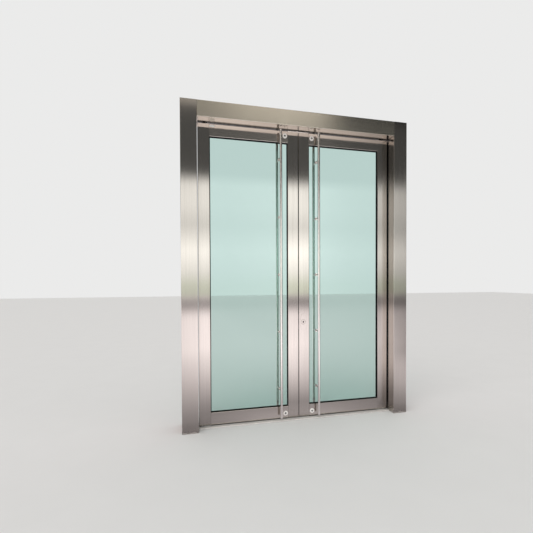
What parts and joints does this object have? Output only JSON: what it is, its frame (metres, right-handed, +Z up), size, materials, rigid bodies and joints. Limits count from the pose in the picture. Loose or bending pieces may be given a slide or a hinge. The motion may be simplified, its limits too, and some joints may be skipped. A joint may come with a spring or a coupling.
{
  "type": "glass entrance door",
  "caption": "Double-leaf swing door of framed glass with full-height pull handles in a boxy brushed stainless portal, with keyed bolt locks, pivots and concealed closers.",
  "frame": {"origin": "on the floor, at the middle of the portal's footprint", "axes": "+X to the right seen from the street, +Y from the street into the building, +Z up"},
  "size_m": [2.32, 0.28, 3.08],
  "materials": {
    "brushed_steel_vertical": "satin stainless sheet, grain running up",
    "brushed_steel_horizontal": "satin stainless sheet, grain running across",
    "satin_tube": "finely ground stainless tube",
    "polished_steel": "bright stainless turned parts",
    "zinc_steel": "zinc-plated steel",
    "carcass_steel": "primed structural steel",
    "closer_casting": "painted cast housing",
    "clear_glass": "clear toughened glass, faintly green",
    "black_rubber": "black glazing rubber",
    "grey_nylon": "grey nylon"
  },
  "bodies": {
    "portal": {"header_cladding": "brushed_steel_horizontal", "header_beam": "carcass_steel", "frame_bolts": "zinc_steel", "threshold_plate": "brushed_steel_horizontal", "pivot_screws": "zinc_steel", "left_jamb_cladding": "brushed_steel_vertical", "left_jamb_post": "carcass_steel", "left_closer_body": "closer_casting", "left_bottom_pivot": "zinc_steel", "right_jamb_cladding": "brushed_steel_vertical", "right_jamb_post": "carcass_steel", "right_closer_body": "closer_casting", "right_bottom_pivot": "zinc_steel"},
    "left_leaf": {"left_closer_spindle": "zinc_steel", "left_top_pivot_arm": "zinc_steel", "left_bottom_pivot_shoe": "zinc_steel", "left_hinge_stile": "brushed_steel_vertical", "left_meeting_stile": "brushed_steel_vertical", "left_top_rail": "brushed_steel_horizontal", "left_bottom_rail": "brushed_steel_horizontal", "left_glass_pane": "clear_glass", "left_gaskets": "black_rubber", "left_setting_blocks": "black_rubber", "left_outside_pull": "satin_tube", "left_inside_pull": "satin_tube", "left_pull_posts": "satin_tube", "left_pull_studs": "zinc_steel", "left_pull_washers": "grey_nylon", "left_lock_cases": "zinc_steel", "left_lock_rosettes": "polished_steel", "left_strike_plate": "polished_steel"},
    "right_leaf": {"right_closer_spindle": "zinc_steel", "right_top_pivot_arm": "zinc_steel", "right_bottom_pivot_shoe": "zinc_steel", "right_hinge_stile": "brushed_steel_vertical", "right_meeting_stile": "brushed_steel_vertical", "right_top_rail": "brushed_steel_horizontal", "right_bottom_rail": "brushed_steel_horizontal", "right_glass_pane": "clear_glass", "right_gaskets": "black_rubber", "right_setting_blocks": "black_rubber", "right_outside_pull": "satin_tube", "right_inside_pull": "satin_tube", "right_pull_posts": "satin_tube", "right_pull_studs": "zinc_steel", "right_pull_washers": "grey_nylon", "right_lock_cases": "zinc_steel", "right_lock_rosettes": "polished_steel", "centre_lock_case": "zinc_steel", "centre_lock_escutcheons": "polished_steel"},
    "left_top_key": {"left_top_lock_plug": "polished_steel"},
    "left_top_bolt": {"left_top_lock_bolt": "zinc_steel"},
    "left_bottom_key": {"left_bottom_lock_plug": "polished_steel"},
    "left_bottom_bolt": {"left_bottom_lock_bolt": "zinc_steel"},
    "right_top_key": {"right_top_lock_plug": "polished_steel"},
    "right_top_bolt": {"right_top_lock_bolt": "zinc_steel"},
    "right_bottom_key": {"right_bottom_lock_plug": "polished_steel"},
    "right_bottom_bolt": {"right_bottom_lock_bolt": "zinc_steel"},
    "centre_key": {"centre_lock_plug": "polished_steel"},
    "centre_bolt": {"centre_lock_bolt": "zinc_steel"}
  },
  "joints": [
    {"name": "left_leaf_swing", "type": "hinge", "parent": "portal", "child": "left_leaf", "pos_m": [-0.934, 0.015, 0], "axis": [0, 0, 1], "range_deg": [-90, 90], "stiffness_Nm_per_rad": 10},
    {"name": "left_top_key_turn", "type": "hinge", "parent": "left_leaf", "child": "left_top_key", "pos_m": [-0.142, 0.015, 2.87], "axis": [0, -1, 0], "range_deg": [0, 90]},
    {"name": "left_top_bolt_throw", "type": "slide", "parent": "left_leaf", "child": "left_top_bolt", "axis": [0, 0, 1], "range_m": [0, 0.017]},
    {"name": "left_bottom_key_turn", "type": "hinge", "parent": "left_leaf", "child": "left_bottom_key", "pos_m": [-0.142, 0.015, 0.066], "axis": [0, -1, 0], "range_deg": [0, 90]},
    {"name": "left_bottom_bolt_throw", "type": "slide", "parent": "left_leaf", "child": "left_bottom_bolt", "axis": [0, 0, -1], "range_m": [0, 0.017]},
    {"name": "right_leaf_swing", "type": "hinge", "parent": "portal", "child": "right_leaf", "pos_m": [0.934, 0.015, 0], "axis": [0, 0, 1], "range_deg": [-90, 90], "stiffness_Nm_per_rad": 10},
    {"name": "right_top_key_turn", "type": "hinge", "parent": "right_leaf", "child": "right_top_key", "pos_m": [0.142, 0.015, 2.87], "axis": [0, -1, 0], "range_deg": [0, 90]},
    {"name": "right_top_bolt_throw", "type": "slide", "parent": "right_leaf", "child": "right_top_bolt", "axis": [0, 0, 1], "range_m": [0, 0.017]},
    {"name": "right_bottom_key_turn", "type": "hinge", "parent": "right_leaf", "child": "right_bottom_key", "pos_m": [0.142, 0.015, 0.066], "axis": [0, -1, 0], "range_deg": [0, 90]},
    {"name": "right_bottom_bolt_throw", "type": "slide", "parent": "right_leaf", "child": "right_bottom_bolt", "axis": [0, 0, -1], "range_m": [0, 0.017]},
    {"name": "centre_key_turn", "type": "hinge", "parent": "right_leaf", "child": "centre_key", "pos_m": [0.048, 0.015, 0.99], "axis": [0, -1, 0], "range_deg": [0, 90]},
    {"name": "centre_bolt_throw", "type": "slide", "parent": "right_leaf", "child": "centre_bolt", "axis": [-1, 0, 0], "range_m": [0, 0.017]}
  ],
  "couplings": [
    {"joint": "left_top_key_turn", "follows": "left_top_bolt_throw", "rad_per_m": 92.4},
    {"joint": "left_bottom_key_turn", "follows": "left_bottom_bolt_throw", "rad_per_m": 92.4},
    {"joint": "right_top_key_turn", "follows": "right_top_bolt_throw", "rad_per_m": 92.4},
    {"joint": "right_bottom_key_turn", "follows": "right_bottom_bolt_throw", "rad_per_m": 92.4},
    {"joint": "centre_key_turn", "follows": "centre_bolt_throw", "rad_per_m": 92.4}
  ]
}
